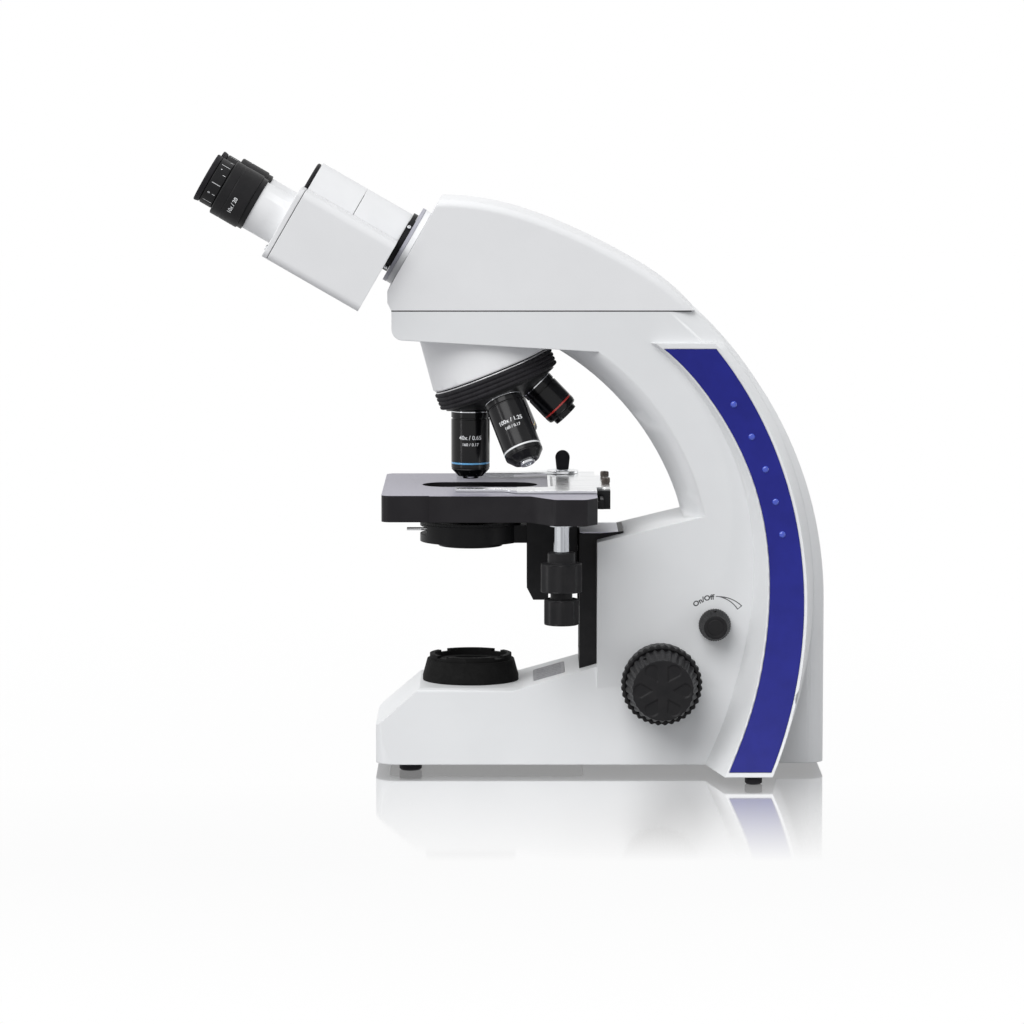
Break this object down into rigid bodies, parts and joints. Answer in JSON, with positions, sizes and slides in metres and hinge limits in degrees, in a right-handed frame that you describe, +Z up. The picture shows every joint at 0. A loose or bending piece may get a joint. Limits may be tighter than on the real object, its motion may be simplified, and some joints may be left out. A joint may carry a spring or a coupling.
{
  "type": "compound microscope",
  "caption": "Binocular compound microscope with a forked stand, tilting eyepiece tubes, rotating nosepiece, moving stage, condenser, coaxial focus knobs and built-in lamp.",
  "frame": {"origin": "on the table plane, midway between the front-most and rear-most points and on the plane of symmetry of the stand", "axes": "+X from the user towards the column, +Y to the user's left, +Z up"},
  "size_m": [0.3885, 0.196, 0.3803],
  "materials": {
    "painted_casting": "fine-textured light grey paint on die-cast aluminium",
    "white_cover": "smooth light grey moulding",
    "black_metal": "black anodised, satin",
    "black_plastic": "fine-grained black moulding",
    "black_rubber": "matt",
    "inlay_blue": "satin deep blue",
    "lamp_blue": "clear blue dome",
    "objective_black": "glossy black lacquer",
    "chrome": "polished",
    "steel": "ground",
    "polished_aluminium": "polished",
    "optical_glass": "polished and coated",
    "circuit_board": "solder mask",
    "grey_plate": "satin anodised"
  },
  "bodies": {
    "stand": {"stand_body": "painted_casting", "head_cover": "white_cover", "nosepiece_housing": "white_cover", "bottom_plate": "black_metal", "rubber_feet": "black_rubber", "side_inlays": "inlay_blue", "indicator_lamps": "lamp_blue", "column_cover": "black_plastic", "light_collar": "black_plastic", "lamp_tube": "black_metal", "lamp_lenses": "optical_glass", "led_board": "circuit_board", "vent_grille": "black_plastic", "power_socket": "black_plastic", "tube_lens": "optical_glass", "head_prism": "optical_glass", "guide_rails": "steel", "head_flange": "grey_plate"},
    "coarse_drive": {"coarse_shaft": "steel", "focus_pinion": "steel", "coarse_knob_right": "black_plastic", "coarse_knob_left": "black_plastic"},
    "fine_drive": {"fine_shaft": "steel", "fine_knob_right": "black_plastic", "fine_knob_left": "black_plastic"},
    "carrier": {"focus_carriage": "black_metal", "focus_rack": "steel", "stage_base": "black_metal", "condenser_carrier": "black_metal", "condenser_body": "black_metal", "condenser_lenses": "optical_glass"},
    "iris": {"iris_ring": "steel"},
    "stage": {"stage_plate": "black_metal", "stage_rail": "steel", "drive_tube": "chrome"},
    "upper_knob": {"upper_stage_knob": "black_plastic"},
    "lower_knob": {"lower_stage_knob": "black_plastic"},
    "slide_carriage": {"holder_block": "black_metal", "slide_holder": "polished_aluminium", "holder_screws": "black_metal"},
    "finger": {"slide_finger": "black_metal"},
    "nosepiece": {"turret": "black_metal", "turret_ring": "black_rubber", "objective_40x": "objective_black", "objective_10x": "objective_black", "objective_4x": "objective_black", "objective_100x": "objective_black", "front_lenses": "optical_glass"},
    "brightness": {"brightness_knob": "black_plastic"},
    "head": {"head_neck": "grey_plate", "hinge_cap": "black_plastic"},
    "right_tube": {"right_prism_housing": "white_cover", "right_eyepiece": "black_metal", "right_optics": "optical_glass"},
    "left_tube": {"left_prism_housing": "white_cover", "left_eyepiece": "black_metal", "left_optics": "optical_glass"},
    "right_diopter": {"right_diopter_ring": "black_metal"},
    "left_diopter": {"left_diopter_ring": "black_metal"}
  },
  "joints": [
    {"name": "stage_lift", "type": "slide", "parent": "stand", "child": "carrier", "axis": [0, 0, 1], "range_m": [-0.015, 0]},
    {"name": "coarse_turn", "type": "hinge", "parent": "stand", "child": "coarse_drive", "pos_m": [0.09312, 0, 0.0576], "axis": [0, 1, 0], "range_deg": [-121, 1]},
    {"name": "fine_turn", "type": "hinge", "parent": "stand", "child": "fine_drive", "pos_m": [0.09312, 0, 0.0576], "axis": [0, 1, 0], "continuous": true},
    {"name": "stage_x", "type": "slide", "parent": "carrier", "child": "stage", "axis": [1, 0, 0], "range_m": [-0.028, 0.002]},
    {"name": "upper_knob_turn", "type": "hinge", "parent": "stage", "child": "upper_knob", "pos_m": [0.03152, -0.078, 0.125], "axis": [0, 0, 1], "range_deg": [-268, 20]},
    {"name": "slide_y", "type": "slide", "parent": "stage", "child": "slide_carriage", "axis": [0, 1, 0], "range_m": [-0.038, 0.038]},
    {"name": "lower_knob_turn", "type": "hinge", "parent": "stage", "child": "lower_knob", "pos_m": [0.03152, -0.078, 0.104], "axis": [0, 0, 1], "range_deg": [-364, 364]},
    {"name": "finger_swing", "type": "hinge", "parent": "slide_carriage", "child": "finger", "pos_m": [0.03352, 0.052, 0.177], "axis": [0, 0, -1], "range_deg": [0, 30], "stiffness_Nm_per_rad": 0.02, "springref_deg": -17.19},
    {"name": "iris_turn", "type": "hinge", "parent": "carrier", "child": "iris", "pos_m": [-0.02448, 0, 0.146], "axis": [0, 0, 1], "range_deg": [-25, 25]},
    {"name": "nosepiece_turn", "type": "hinge", "parent": "stand", "child": "nosepiece", "pos_m": [-0.02448, 0, 0.2793], "axis": [0.3746, 0, -0.9272], "continuous": true},
    {"name": "brightness_turn", "type": "hinge", "parent": "stand", "child": "brightness", "pos_m": [0.12652, -0.05, 0.0915], "axis": [0, 1, 0], "range_deg": [-30, 270]},
    {"name": "head_turn", "type": "hinge", "parent": "stand", "child": "head", "pos_m": [-0.05902, 0, 0.32017], "axis": [-0.866, 0, 0.5], "continuous": true},
    {"name": "right_swing", "type": "hinge", "parent": "head", "child": "right_tube", "pos_m": [-0.05902, 0, 0.32017], "axis": [-0.866, 0, 0.5], "range_deg": [-12, 38]},
    {"name": "left_swing", "type": "hinge", "parent": "head", "child": "left_tube", "pos_m": [-0.05902, 0, 0.32017], "axis": [-0.866, 0, 0.5], "range_deg": [-38, 12]},
    {"name": "right_diopter_turn", "type": "hinge", "parent": "right_tube", "child": "right_diopter", "pos_m": [-0.17883, -0.02954, 0.36266], "axis": [-0.866, 0, 0.5], "range_deg": [-150, 150]},
    {"name": "left_diopter_turn", "type": "hinge", "parent": "left_tube", "child": "left_diopter", "pos_m": [-0.17883, 0.02954, 0.36266], "axis": [-0.866, 0, 0.5], "range_deg": [-150, 150]}
  ],
  "couplings": [
    {"joint": "coarse_turn", "follows": "stage_lift", "rad_per_m": 139.63},
    {"joint": "upper_knob_turn", "follows": "stage_x", "rad_per_m": 166.67},
    {"joint": "lower_knob_turn", "follows": "slide_y", "rad_per_m": 166.67},
    {"joint": "left_swing", "follows": "right_swing", "ratio": -1}
  ]
}
